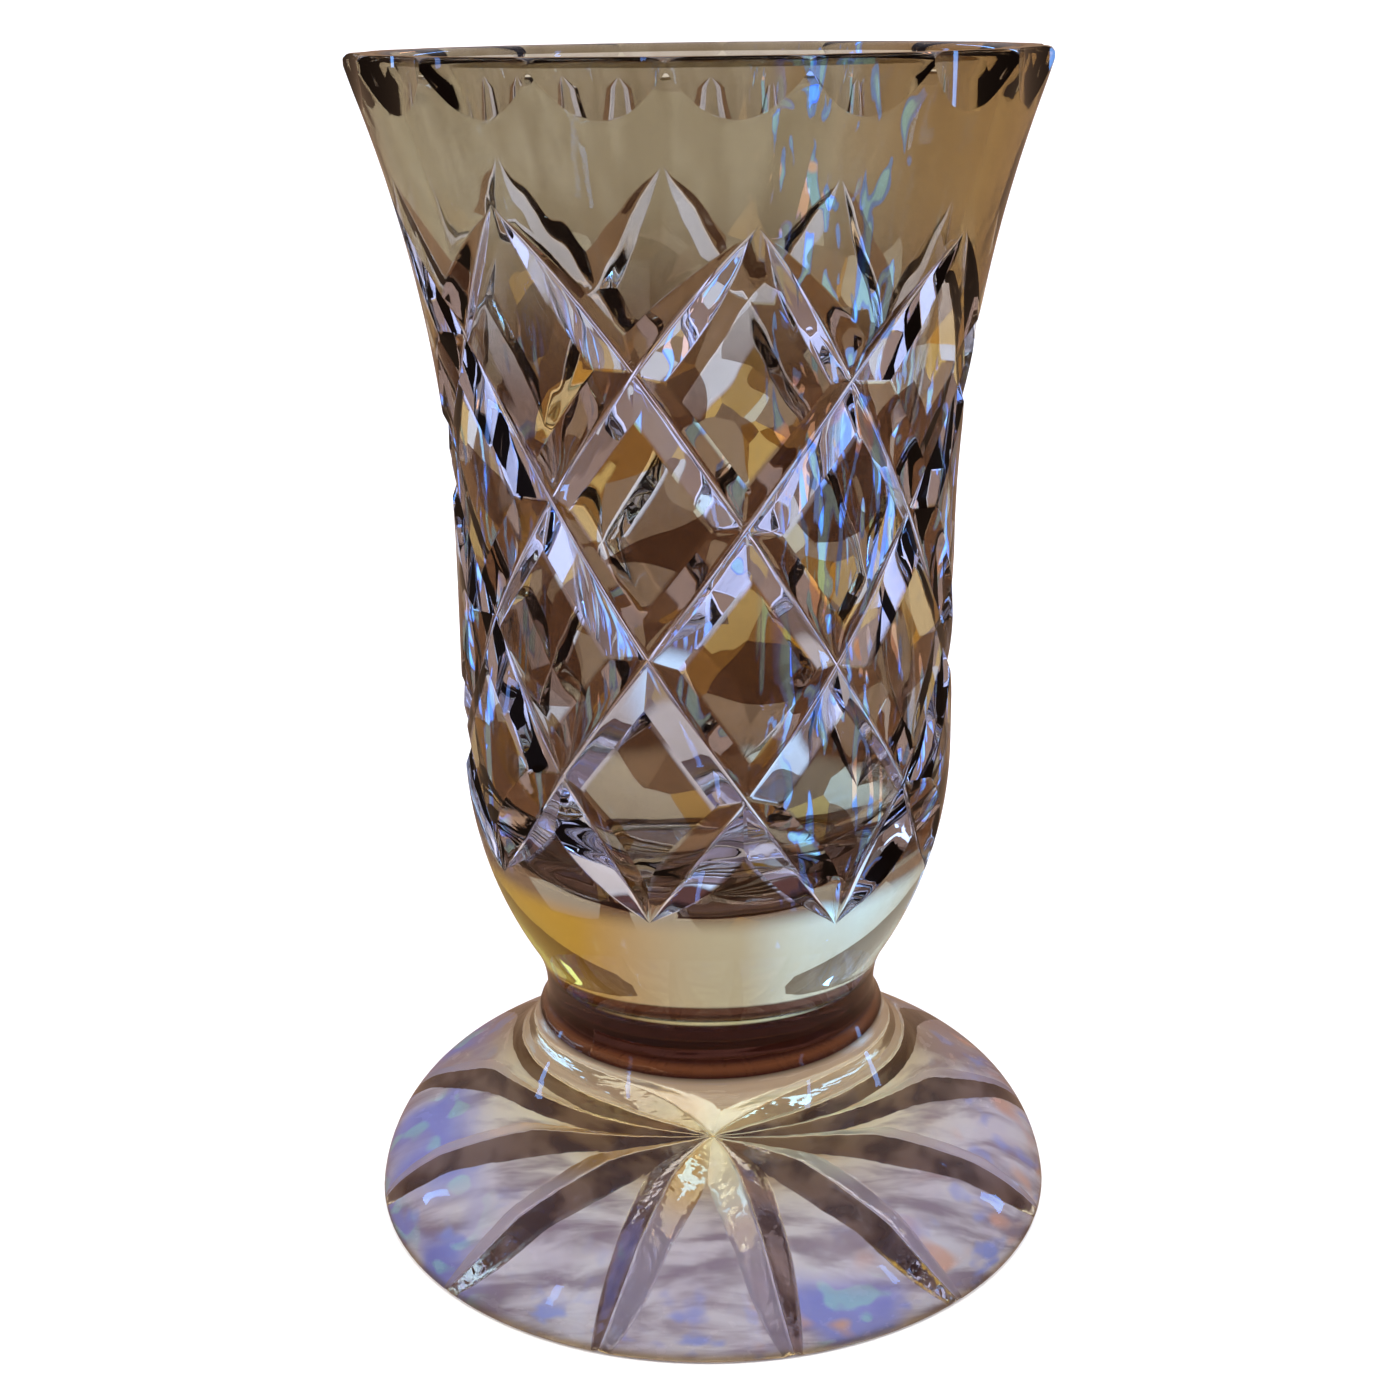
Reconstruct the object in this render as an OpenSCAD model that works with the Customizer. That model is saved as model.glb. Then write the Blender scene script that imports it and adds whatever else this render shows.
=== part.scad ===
// Footed cut crystal vase: a flared bowl, a short collar and a domed foot, hot joined.
// Millimetres. The vase stands on Z = 0 with its axis on Z.

/* [Overall] */
// Height of the vase
vase_h = 150; // [145:1:158]
// Outer radius of the rim
rim_r = 41.7; // [40:0.1:43]
// Outer radius of the foot
foot_r = 46; // [43:0.5:49]
// Outer radius of the bowl at its widest below the flare
belly_r = 31.7; // [31.6:0.1:33]
// Outer radius at the narrowest place above the belly
waist_r = 31.5; // [31:0.1:32]

/* [Bowl] */
// Height of the belly's widest place
belly_z = 64; // [60:1:66]
// Height of the waist, where the flare begins
waist_z = 92; // [86:1:98]
// Radius of the arc that rounds the bulb under the belly
bulb_arc = 53; // [50:1:56]
// Wall thickness of the body, before cutting
wall_body = 5.2; // [4.8:0.1:6]
// Wall thickness at the lip
wall_lip = 4.4; // [4:0.1:5]
// Height of the inside floor
floor_z = 46.5; // [44:0.5:50]
// Height at which the rounded floor meets the wall
floor_spring_z = 63.5; // [60:0.5:68]
// Rounding of the lip's edges
lip_round = 1.1; // [0.8:0.1:1.6]

/* [Diamond cutting] */
// Diamonds around the bowl
diamonds = 8; // [8:1:8]
// Height of the lowest tips of the cuts
cut_low_z = 49.6; // [49:0.1:51]
// Height between one row of crossings and the next
cut_row_h = 16.75; // [16:0.25:17]
// Rows of crossings and tips above the lowest one
cut_rows = 5; // [5:1:5]
// Turn of the pattern about the axis
cut_turn = 8.85; // [-20:0.05:20]
// How far the hand-cut rows dip towards +X and rise towards -X
cut_lean = 2.7; // [0:0.1:2.8]
// Half the width of a cut at the surface
cut_half_w = 3.2; // [2.6:0.1:3.4]
// Half the angle of the cutting wheel's edge
wheel_half_angle = 58; // [56:1:62]
// How much deeper a cut runs over the belly before its lower tip
tip_swell = 1.2; // [0.8:0.1:1.4]

/* [Rim scallops] */
// Scallops around the rim
scallops = 18; // [18:1:18]
// Height of a scallop on the outside of the rim
scallop_h = 6.3; // [5:0.1:7]
// How far inside the rim's edge two scallops meet
scallop_inset = 0.1; // [0.05:0.05:0.3]
// Turn of the scallops about the axis
scallop_turn = 5.4; // [-10:0.1:10]

/* [Collar] */
// Radius of the neck, where the bowl meets the collar
neck_r = 22.2; // [21.8:0.1:22.8]
// Radius of the hollow curve from the bulb into the neck
neck_fillet = 14; // [12:0.5:15]
// Depth of the hollow around the collar
collar_hollow = 0.35; // [0.2:0.05:0.6]
// Depth of the joint line down the collar
seam_depth = 0.5; // [0.3:0.1:0.8]
// Direction of the joint line about the axis
seam_turn = -43.5; // [-180:0.5:180]

/* [Foot] */
// Height of the foot, where the collar stands on it
foot_h = 26.1; // [25.5:0.1:26.5]
// Radius of the collar where it stands on the foot
shoulder_r = 23.3; // [23:0.1:24]
// Radius of the arc that rounds the foot's side
edge_arc = 14.5; // [13:0.5:15]
// How far the centre of that arc lies below the underside
edge_sink = 1; // [0:0.5:2]
// Slope of the foot's top
top_slope = 32.5; // [30:0.5:34]
// Steepness with which the foot's top curves up to meet the collar
rise_end = 72; // [66:1:80]
// Rounding of the foot's bottom edge
foot_round = 0.8; // [0.5:0.1:1.2]
// Rays of the star cut in the underside
star_rays = 12; // [12:1:12]
// Depth of a ray at its deepest
star_depth = 2; // [1.5:0.1:2.2]
// Distance of a ray's deepest place from the axis
star_deep_r = 18; // [15:1:20]
// Radius of the wheel that cuts the rays
star_wheel_r = 270; // [260:5:300]
// Half the angle of that wheel's edge
star_half_angle = 60; // [58:1:62]
// Turn of the star about the axis
star_turn = -18; // [-30:1:30]

/* [Colours] */
// Colour of the bowl
bowl_color = [0.80, 0.74, 0.66];
// Colour of the collar
collar_color = [0.45, 0.33, 0.26];
// Colour of the foot
foot_color = [0.74, 0.70, 0.72];

/* [Hidden] */
$fn = 144;

// Height of the neck: the fillet's arc touches the bulb's arc from outside.
neck_z = belly_z - sqrt(pow(bulb_arc + neck_fillet, 2)
                        - pow(neck_r + neck_fillet - belly_r + bulb_arc, 2));
// The fillet hands over to the bulb's arc on the line through both centres.
bulb_z = neck_z + (belly_z - neck_z) * neck_fillet / (neck_fillet + bulb_arc);
// Height at which the wall ends and the rounding of the lip begins.
lip_z = vase_h - lip_round;
// Radius of the one arc that flares from the waist to the rim.
flare_arc = (pow(lip_z - waist_z, 2) + pow(rim_r - waist_r, 2)) / (2 * (rim_r - waist_r));
// Depth of a diamond cut below the surface.
cut_depth = cut_half_w / tan(wheel_half_angle);
// Angle between one column of crossings and the next.
cut_column = 180 / diamonds;
// A cut ends just short of the point where it would touch its neighbour.
tip_end = 0.97;
// Distance from the axis to the centre of the arc that rounds the foot's side.
edge_x = foot_r - sqrt(edge_arc * edge_arc - edge_sink * edge_sink);
// That arc ends where it is as steep as the foot's top.
slope_x = edge_x + edge_arc * sin(top_slope);
slope_z = edge_arc * cos(top_slope) - edge_sink;
// Radius and centre of the hollow arc that leads from the foot's top up to the collar.
rise_arc = (foot_h - slope_z - tan(top_slope) * (slope_x - shoulder_r))
           / (cos(top_slope) - cos(rise_end) - tan(top_slope) * (sin(rise_end) - sin(top_slope)));
rise_x = shoulder_r + rise_arc * sin(rise_end);
rise_z = foot_h + rise_arc * cos(rise_end);

// ---- Profile of the bowl ----

// How far an arc of radius arc has moved sideways after a rise from its turning point.
function arc_shift(arc, rise) = arc - sqrt(arc * arc - rise * rise);

// Outer radius of the bowl at height z, before any cutting.
function outer_r(z) =
    z < bulb_z ? neck_r + arc_shift(neck_fillet, z - neck_z) :
    z < belly_z ? belly_r - arc_shift(bulb_arc, belly_z - z) :
    z < waist_z ? waist_r + (belly_r - waist_r) * (1 + cos(180 * (z - belly_z) / (waist_z - belly_z))) / 2 :
    waist_r + arc_shift(flare_arc, z - waist_z);

// Wall thickness at height z.
function wall(z) =
    z < waist_z ? wall_body : wall_body + (wall_lip - wall_body) * (z - waist_z) / (vase_h - waist_z);

// Inner radius of the bowl at height z above the rounded floor.
function inner_r(z) = outer_r(z) - wall(z);

// Evenly spaced numbers from a to b, with n steps.
function steps(a, b, n) = [for (i = [0:n]) a + (b - a) * i / n];

// Half section of the bowl: up the outside, over the lip, down the inside.
module bowl_section() {
    lip_in = inner_r(lip_z) + lip_round;
    lip_out = outer_r(lip_z) - lip_round;
    floor_r = inner_r(floor_spring_z);
    polygon(concat(
        [[0, neck_z]],
        [for (z = steps(neck_z, bulb_z, 3)) [outer_r(z), z]],
        [for (z = steps(bulb_z, belly_z, 10)) if (z > bulb_z) [outer_r(z), z]],
        [for (z = steps(belly_z, waist_z, 6)) if (z > belly_z) [outer_r(z), z]],
        [for (z = steps(waist_z, lip_z, 16)) if (z > waist_z) [outer_r(z), z]],
        [for (a = steps(0, 90, 5)) if (a > 0) [lip_out + lip_round * cos(a), lip_z + lip_round * sin(a)]],
        [for (a = steps(90, 180, 5)) [lip_in + lip_round * cos(a), lip_z + lip_round * sin(a)]],
        [for (z = steps(lip_z, waist_z, 16)) if (z < lip_z) [inner_r(z), z]],
        [for (z = steps(waist_z, floor_spring_z, 6)) if (z < waist_z) [inner_r(z), z]],
        [for (a = steps(0, 90, 12)) if (a > 0)
            [floor_r * cos(a), floor_spring_z - (floor_spring_z - floor_z) * sin(a)]]
    ));
}

// ---- Diamond cutting ----

// Depth of a cut's valley below the surface at row position t, counted from the lowest tips.
// It fades over the first and the last row; the lower fade swells before it ends.
function valley_depth(t) =
    let (low = (1 - t) / tip_end, high = (t - cut_rows + 1) / tip_end)
    low > 0 ? cut_depth * (1 - low * low) * (1 + tip_swell * low) :
    high > 0 ? cut_depth * (1 - high * high) :
    cut_depth;

// Distance of x from the nearest whole number.
function off_whole(x) = abs(x - round(x));

// Distance along the surface, square to a cut, between one cut and the next one like it.
function cut_pitch(r) =
    let (half_w = r * cut_column * PI / 180)
    2 * half_w * cut_row_h / sqrt(half_w * half_w + cut_row_h * cut_row_h);

// Direction of column position c about the axis.
function cut_angle(c) = cut_turn + c * cut_column;

// Height of row position t at column position c.
function cut_z(c, t) = cut_low_z + cut_row_h * t - cut_lean * sin(cut_angle(c));

// Radius of the wheel's cut at column position c and row position t. Right-hand cuts lie where
// (c - t) / 2 is halfway between whole numbers, left-hand cuts where (c + t) / 2 is.
function cut_r(c, t) =
    let (r = outer_r(cut_z(c, t)),
         away = min(off_whole((c - t) / 2 - 0.5), off_whole((c + t) / 2 - 0.5)))
    r - valley_depth(t) + away * cut_pitch(r) / tan(wheel_half_angle);

// Everything the wheels take off the bowl: a ring whose inside is ridged by the crossing cuts.
module diamond_cuts() {
    fine = 5;
    around = 2 * diamonds * fine;
    up = cut_rows * fine;
    clear_r = rim_r + 15;
    inside = [for (j = [0:up]) for (i = [0:around - 1])
        let (c = i / fine, t = j / fine, a = cut_angle(c), r = cut_r(c, t))
        [r * sin(a), -r * cos(a), cut_z(c, t)]];
    outside = [for (j = [0, up]) for (i = [0:around - 1])
        let (c = i / fine, a = cut_angle(c))
        [clear_r * sin(a), -clear_r * cos(a), cut_z(c, j / fine)]];
    out0 = len(inside);
    out1 = out0 + around;
    polyhedron(
        points = concat(inside, outside),
        faces = concat(
            [for (j = [0:up - 1]) for (i = [0:around - 1])
                let (k = (i + 1) % around,
                     a = j * around + i, b = j * around + k, c = a + around, d = b + around,
                     rising = (floor(i / fine) + floor(j / fine)) % 2 == 1)
                each rising ? [[a, b, d], [a, d, c]] : [[a, b, c], [b, d, c]]],
            [for (i = [0:around - 1]) let (k = (i + 1) % around)
                [out0 + i, out1 + i, out1 + k, out0 + k]],
            [for (i = [0:around - 1]) let (k = (i + 1) % around)
                [i, out0 + i, out0 + k, k]],
            [for (i = [0:around - 1]) let (k = (i + 1) % around)
                [up * around + i, up * around + k, out1 + k, out1 + i]]
        )
    );
}

// ---- Rim scallops ----

// Each scallop is the hollow of an upright cylinder that starts at the foot of the cut and meets
// its neighbours just inside the rim's edge.
module scallop_cuts() {
    foot_of_cut = outer_r(vase_h - scallop_h);
    corner_r = rim_r - scallop_inset;
    corner_x = corner_r * cos(180 / scallops);
    scallop_r = (corner_r * corner_r + foot_of_cut * foot_of_cut - 2 * corner_x * foot_of_cut)
                / (2 * (corner_x - foot_of_cut));
    for (i = [0:scallops - 1])
        rotate([0, 0, scallop_turn + 360 * i / scallops])
            translate([0, -foot_of_cut - scallop_r, vase_h - 2 * scallop_h])
                cylinder(r = scallop_r, h = 3 * scallop_h);
}

// ---- Collar ----

// Half section of the collar: a slightly hollow cone.
module collar_section() {
    polygon(concat(
        [[0, foot_h]],
        [for (s = steps(0, 1, 6))
            [shoulder_r + (neck_r - shoulder_r) * s - collar_hollow * sin(180 * s),
             foot_h + (neck_z - foot_h) * s]],
        [[0, neck_z]]
    ));
}

// A narrow V-shaped groove that follows the slope of the collar.
module seam_cut() {
    lean = atan((shoulder_r - neck_r) / (neck_z - foot_h));
    rotate([-lean, 0, 0])
        rotate([0, 0, 45])
            translate([-seam_depth, -seam_depth, -2])
                cube([2 * seam_depth, 2 * seam_depth, neck_z - foot_h + 6]);
}

// ---- Foot ----

// Half section of the foot: a flat underside, a rounded side, and a sloping top that curves up
// to the collar.
module foot_section() {
    side_low = asin((foot_round + edge_sink) / edge_arc);
    side_r = edge_x + edge_arc * cos(side_low);
    polygon(concat(
        [[0, 0]],
        [for (a = steps(0, 90, 3)) if (a < 90)
            [side_r - foot_round + foot_round * sin(a), foot_round - foot_round * cos(a)]],
        [for (a = steps(side_low, 90 - top_slope, 10))
            [edge_x + edge_arc * cos(a), edge_arc * sin(a) - edge_sink]],
        [for (a = steps(top_slope, rise_end, 10))
            [rise_x - rise_arc * sin(a), rise_z - rise_arc * cos(a)]],
        [[0, foot_h]]
    ));
}

// Height of a ray's side above the underside, at distance r from the axis and angle off its middle.
// The wheel leaves a valley that follows the wheel's own arc.
function star_z(r, off) =
    star_depth - arc_shift(star_wheel_r, abs(r * cos(off) - star_deep_r))
    - r * sin(off) / tan(star_half_angle);

// Everything the wheel grinds out of the underside: a low block whose top is ridged like the star.
module star_cuts() {
    rings = 14;
    around = 2 * star_rays;
    half_gap = 180 / star_rays;
    block_r = foot_r + 4;
    below = -10;
    top = [for (k = [1:rings]) for (i = [0:around - 1])
        let (r = block_r * k / rings, a = star_turn + i * half_gap)
        [r * sin(a), -r * cos(a), star_z(r, i % 2 * half_gap)]];
    last = (rings - 1) * around;
    base0 = len(top);
    centre = base0 + around;
    polyhedron(
        points = concat(
            top,
            [for (i = [0:around - 1]) let (a = star_turn + i * half_gap)
                [block_r * sin(a), -block_r * cos(a), below]],
            [[0, 0, star_z(0, 0)]]
        ),
        faces = concat(
            [for (i = [0:around - 1]) [centre, (i + 1) % around, i]],
            [for (k = [0:rings - 2]) for (i = [0:around - 1])
                let (n = (i + 1) % around, a = k * around + i, b = k * around + n,
                     c = a + around, d = b + around)
                each [[a, b, c], [b, d, c]]],
            [for (i = [0:around - 1]) let (n = (i + 1) % around)
                [last + i, last + n, base0 + n, base0 + i]],
            [[for (i = [0:around - 1]) base0 + i]]
        )
    );
}

// ---- The three gathers of glass ----

module bowl() {
    color(bowl_color)
        difference() {
            rotate_extrude() bowl_section();
            diamond_cuts();
            scallop_cuts();
        }
}

module collar() {
    color(collar_color)
        difference() {
            rotate_extrude() collar_section();
            rotate([0, 0, seam_turn])
                translate([0, -shoulder_r, foot_h - 1])
                    seam_cut();
        }
}

module foot() {
    color(foot_color)
        difference() {
            rotate_extrude() foot_section();
            star_cuts();
        }
}

bowl();
collar();
foot();
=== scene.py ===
import math
import bpy
import numpy as np
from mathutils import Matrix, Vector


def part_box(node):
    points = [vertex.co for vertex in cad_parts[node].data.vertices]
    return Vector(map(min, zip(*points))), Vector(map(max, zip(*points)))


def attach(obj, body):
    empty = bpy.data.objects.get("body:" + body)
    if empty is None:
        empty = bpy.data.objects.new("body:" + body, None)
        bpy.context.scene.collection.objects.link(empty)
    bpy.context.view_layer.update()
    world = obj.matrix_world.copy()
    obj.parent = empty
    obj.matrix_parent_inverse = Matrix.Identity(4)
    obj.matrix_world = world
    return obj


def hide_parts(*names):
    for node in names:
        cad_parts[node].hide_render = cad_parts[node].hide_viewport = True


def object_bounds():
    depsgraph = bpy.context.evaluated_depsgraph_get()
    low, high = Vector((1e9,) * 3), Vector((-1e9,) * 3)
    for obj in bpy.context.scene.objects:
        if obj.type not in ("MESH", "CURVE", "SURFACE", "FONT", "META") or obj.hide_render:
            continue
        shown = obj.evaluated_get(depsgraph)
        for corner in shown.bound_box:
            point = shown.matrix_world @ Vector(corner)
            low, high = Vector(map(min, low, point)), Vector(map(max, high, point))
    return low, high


# Looks of a footed cut crystal vase. Everything is in metres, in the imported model's frame: the vase
# stands on Z = 0 with its axis on Z. A direction about the axis is measured from -Y towards +X.

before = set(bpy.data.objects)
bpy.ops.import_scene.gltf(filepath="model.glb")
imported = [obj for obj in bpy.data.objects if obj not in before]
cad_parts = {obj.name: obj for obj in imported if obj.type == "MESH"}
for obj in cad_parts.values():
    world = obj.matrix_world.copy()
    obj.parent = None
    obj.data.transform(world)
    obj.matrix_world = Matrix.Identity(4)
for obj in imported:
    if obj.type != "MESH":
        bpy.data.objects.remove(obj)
CAD_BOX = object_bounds()

# ---- Sizes ----

VASE_H = CAD_BOX[1].z
# The vase is designed 150 units tall, and every size follows its height.
UNIT = VASE_H / 150

RIM_R = 41.7 * UNIT
BELLY_R = 31.7 * UNIT
WAIST_R = 31.5 * UNIT
NECK_R = 22.2 * UNIT
SHOULDER_R = 23.3 * UNIT
FOOT_R = 46 * UNIT

NECK_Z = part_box("collar")[1].z
BELLY_Z = 64 * UNIT
WAIST_Z = 92 * UNIT
FOOT_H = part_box("collar")[0].z
FLOOR_Z = 46.5 * UNIT
FLOOR_SPRING_Z = 63.5 * UNIT

BULB_ARC = 53 * UNIT
NECK_FILLET = 14 * UNIT
WALL_BODY = 5.2 * UNIT
WALL_LIP = 4.4 * UNIT
LIP_ROUND = 1.1 * UNIT
LIP_Z = VASE_H - LIP_ROUND
BULB_Z = NECK_Z + (BELLY_Z - NECK_Z) * NECK_FILLET / (NECK_FILLET + BULB_ARC)
FLARE_ARC = ((LIP_Z - WAIST_Z) ** 2 + (RIM_R - WAIST_R) ** 2) / (2 * (RIM_R - WAIST_R))

DIAMONDS = 8
CUT_ROWS = 5
CUT_LOW_Z = 49.6 * UNIT
CUT_ROW_H = 16.75 * UNIT
CUT_LEAN = 2.7 * UNIT
CUT_COLUMN = math.pi / DIAMONDS
CUT_TURN = math.radians(8.85)
CUT_HALF_W = 3.2 * UNIT
WHEEL_HALF_ANGLE = math.radians(58)
WHEEL_TAN = math.tan(WHEEL_HALF_ANGLE)
CUT_DEPTH = CUT_HALF_W / WHEEL_TAN
TIP_SWELL = 1.2
TIP_END = 0.97
# The wheel's edge is worn round, so each valley has a narrow round bottom.
WHEEL_EDGE_R = 0.8 * UNIT
# Polishing softens the edge of each cut by this much on both sides.
EDGE_SOFT = 0.12 * UNIT
# How far a hand-cut line strays sideways, as a share of the space between two cuts.
CUT_STRAY = 0.012
# How much the depth varies from cut to cut.
CUT_UNEVEN = 0.05
# Where the waves of stray and of depth start on the cuts of each hand, in radians.
STRAY_STARTS = (0.8, 2.1)
DEPTH_STARTS = (0.3, 1.9)

SCALLOPS = 18
SCALLOP_H = 6.3 * UNIT
SCALLOP_INSET = 0.1 * UNIT
SCALLOP_TURN = math.radians(5.4)

COLLAR_HOLLOW = 0.35 * UNIT
SEAM_TURN = math.radians(-43.5)
SEAM_HALF_W = 0.45 * UNIT
SEAM_DEPTH = 0.35 * UNIT
# The gather that makes the collar is wrapped once round. Its end stands a little proud and fades
# into the collar over about this angle, in radians.
WRAP_STEP = 0.25 * UNIT
WRAP_FADE = 0.9

FOOT_ROUND = 0.8 * UNIT
EDGE_ARC = 14.5 * UNIT
EDGE_SINK = 1.0 * UNIT
TOP_SLOPE = math.radians(32.5)
RISE_END = math.radians(72)
EDGE_X = FOOT_R - math.sqrt(EDGE_ARC ** 2 - EDGE_SINK ** 2)
SIDE_LOW = math.asin((FOOT_ROUND + EDGE_SINK) / EDGE_ARC)
SLOPE_X = EDGE_X + EDGE_ARC * math.sin(TOP_SLOPE)
SLOPE_Z = EDGE_ARC * math.cos(TOP_SLOPE) - EDGE_SINK
RISE_ARC = FOOT_H - SLOPE_Z - math.tan(TOP_SLOPE) * (SLOPE_X - SHOULDER_R)
RISE_ARC /= (math.cos(TOP_SLOPE) - math.cos(RISE_END)
             - math.tan(TOP_SLOPE) * (math.sin(RISE_END) - math.sin(TOP_SLOPE)))
RISE_X = SHOULDER_R + RISE_ARC * math.sin(RISE_END)
RISE_Z = FOOT_H + RISE_ARC * math.cos(RISE_END)
STAR_RAYS = 12
STAR_TURN = math.radians(-18)
STAR_DEPTH = 2.0 * UNIT
STAR_DEEP_R = 18 * UNIT
STAR_WHEEL_R = 270 * UNIT
STAR_HALF_ANGLE = math.radians(60)
STAR_EDGE_R = 0.5 * UNIT
# Rays closer to the front than this get the painted highlight on their other side.
STAR_FRONT = math.radians(30)

GLASS_SLOT = 0
WELD_SLOT = 1
INNER_SLOT = 2
# What the side attribute is along the valley of a cut, which gets a painted lilac highlight, and on
# the scallops, which it gives part of the painted shade of a cut's dark side.
VALLEY = 3.0
SCALLOP_SHADE_SIDE = -0.45


# ---- Profile ----

def arc_shift(arc, rise):
    """How far an arc of that radius has moved sideways after a rise from its turning point."""
    return arc - np.sqrt(np.maximum(arc * arc - rise * rise, 0))


def outer_r(z):
    """Outer radius of the bowl at height z, before any cutting."""
    fillet = NECK_R + arc_shift(NECK_FILLET, z - NECK_Z)
    bulb = BELLY_R - arc_shift(BULB_ARC, BELLY_Z - z)
    swing = np.cos(np.pi * (z - BELLY_Z) / (WAIST_Z - BELLY_Z))
    body = WAIST_R + (BELLY_R - WAIST_R) * (1 + swing) / 2
    flare = WAIST_R + arc_shift(FLARE_ARC, z - WAIST_Z)
    return np.select([z < BULB_Z, z < BELLY_Z, z < WAIST_Z], [fillet, bulb, body], flare)


def flare_z(r):
    """Height at which the flare reaches radius r."""
    return WAIST_Z + np.sqrt(FLARE_ARC ** 2 - (FLARE_ARC - (r - WAIST_R)) ** 2)


def inner_r(z):
    """Inner radius of the bowl at height z above the rounded floor."""
    thin = np.clip((z - WAIST_Z) / (VASE_H - WAIST_Z), 0, 1)
    return outer_r(z) - WALL_BODY - (WALL_LIP - WALL_BODY) * thin


def inner_wave(angle, z):
    """The slight unevenness of the blown inside."""
    up = z / UNIT
    slow = np.sin(3 * angle + 0.055 * up) + 0.7 * np.sin(5 * angle - 0.09 * up + 1.3)
    quick = 0.35 * np.sin(9 * angle + 0.21 * up + 0.4) + 0.25 * np.sin(0.45 * up + 2 * angle)
    return 0.07 * UNIT * (slow + quick)


# ---- Closed meshes, ring by ring ----

class Shell:
    """Points and faces of one closed mesh. Rings run from the middle of the bottom outwards, up
    the outside, and then inwards and down the inside."""

    def __init__(self):
        self.points = []
        self.sides = []
        self.faces = []
        self.slots = []
        self.count = 0

    def ring(self, angle, r, z, side=0.0):
        """Adds one ring of points and returns their numbers. The side is 1 on the side of a cut that
        gets a painted highlight, -1 on its side that gets painted shade, VALLEY along its valley, and
        0 where nothing is cut."""
        angle, r, z, side = np.broadcast_arrays(angle, r, z, side)
        self.points.append(np.stack([r * np.sin(angle), -r * np.cos(angle), z], axis=-1))
        self.sides.append(side)
        self.count += angle.size
        return np.arange(self.count - angle.size, self.count)

    def middle(self, z):
        """Adds one point on the axis."""
        return self.ring(np.zeros(1), 0.0, z)

    def triangles(self, a, b, c, slot=GLASS_SLOT):
        """Adds triangles with these corners."""
        a, b, c = np.broadcast_arrays(a, b, c)
        self.faces.append(np.stack([a, b, c], axis=-1).reshape(-1, 3))
        self.slots.append(np.full(a.size, slot))

    def band(self, before, after, slot=GLASS_SLOT):
        """Joins a ring to the next one, which has as many points."""
        before_next = np.roll(before, -1)
        after_next = np.roll(after, -1)
        self.triangles(before, before_next, after_next, slot)
        self.triangles(before, after_next, after, slot)

    def rings(self, ring, angle, rows, slot=GLASS_SLOT, side=0.0):
        """Adds a ring for each row, which has a radius and a height, and joins each of them to the
        one before. Returns the last ring."""
        for r, z in rows:
            further = self.ring(angle, r, z, side)
            self.band(ring, further, slot)
            ring = further
        return ring

    def open_disk(self, middle, ring, slot):
        """Joins a middle point to the ring that follows it."""
        self.triangles(middle, np.roll(ring, -1), ring, slot)

    def close_disk(self, ring, middle, slot):
        """Joins a ring to the middle point that follows it."""
        self.triangles(ring, np.roll(ring, -1), middle, slot)

    def stitch(self, before, before_angle, after, after_angle):
        """Joins a ring to the next one, which may have another number of points. Both run
        once round in the direction of growing angle."""
        turn = 2 * math.pi
        i_before = np.argsort(before_angle % turn)
        i_after = np.argsort(after_angle % turn)
        before, before_at = before[i_before], (before_angle % turn)[i_before]
        after, after_at = after[i_after], (after_angle % turn)[i_after]
        n, m = len(before), len(after)
        i = j = 0
        made = []
        while i < n or j < m:
            next_before = before_at[(i + 1) % n] + turn * ((i + 1) // n)
            next_after = after_at[(j + 1) % m] + turn * ((j + 1) // m)
            if j >= m or (i < n and next_before <= next_after):
                made.append((before[i % n], before[(i + 1) % n], after[j % m]))
                i += 1
            else:
                made.append((before[i % n], after[(j + 1) % m], after[j % m]))
                j += 1
        made = np.array(made)
        self.triangles(made[:, 0], made[:, 1], made[:, 2])

    def piece(self, name, materials, sharp_degrees):
        """Makes the Blender object."""
        points = np.concatenate(self.points)
        faces = np.concatenate(self.faces)
        mesh = bpy.data.meshes.new(name)
        mesh.vertices.add(len(points))
        mesh.vertices.foreach_set("co", points.astype(np.float32).ravel())
        mesh.loops.add(faces.size)
        mesh.loops.foreach_set("vertex_index", faces.astype(np.int32).ravel())
        mesh.polygons.add(len(faces))
        mesh.polygons.foreach_set("loop_start", np.arange(0, faces.size, 3, dtype=np.int32))
        mesh.polygons.foreach_set("material_index", np.concatenate(self.slots).astype(np.int32))
        for material in materials:
            mesh.materials.append(material)
        side = mesh.attributes.new("side", "FLOAT", "POINT")
        side.data.foreach_set("value", np.concatenate(self.sides).astype(np.float32))
        mesh.update(calc_edges=True)
        mesh.validate()
        mesh.shade_smooth()
        mesh.set_sharp_from_angle(angle=math.radians(sharp_degrees))
        made = bpy.data.objects.new(name, mesh)
        bpy.context.scene.collection.objects.link(made)
        return made


def steps(a, b, n):
    """The n equal steps from a to b, without a itself."""
    return [a + (b - a) * i / n for i in range(1, n + 1)]


def turn_angles(n, first=0.0):
    """Directions of n evenly spaced points."""
    return first + 2 * math.pi * np.arange(n) / n


# ---- Cuts ----

# Mesh lines across the valley of a cut, on its side, and on the land beyond its edge, all counted
# on one side of the valley. One more line crosses the softened edge.
VALLEY_LINES = 3
SIDE_LINES = 4
LAND_LINES = 8


def lines_away(step, valley, half_w, soft, end, land_lines):
    """Distance from a cut's valley to each mesh line beside it, counted from the valley. The
    cut is half_w wide on this side, and the last line lies at the distance end."""
    side_step = step - VALLEY_LINES
    edge_step = side_step - SIDE_LINES
    away = valley * np.clip(step / VALLEY_LINES, 0, 1)
    away += (half_w - soft - valley) * np.clip(side_step / SIDE_LINES, 0, 1)
    away += 2 * soft * np.clip(edge_step, 0, 1)
    away += (end - half_w - soft) * np.clip((edge_step - 1) / land_lines, 0, 1)
    return away


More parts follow.
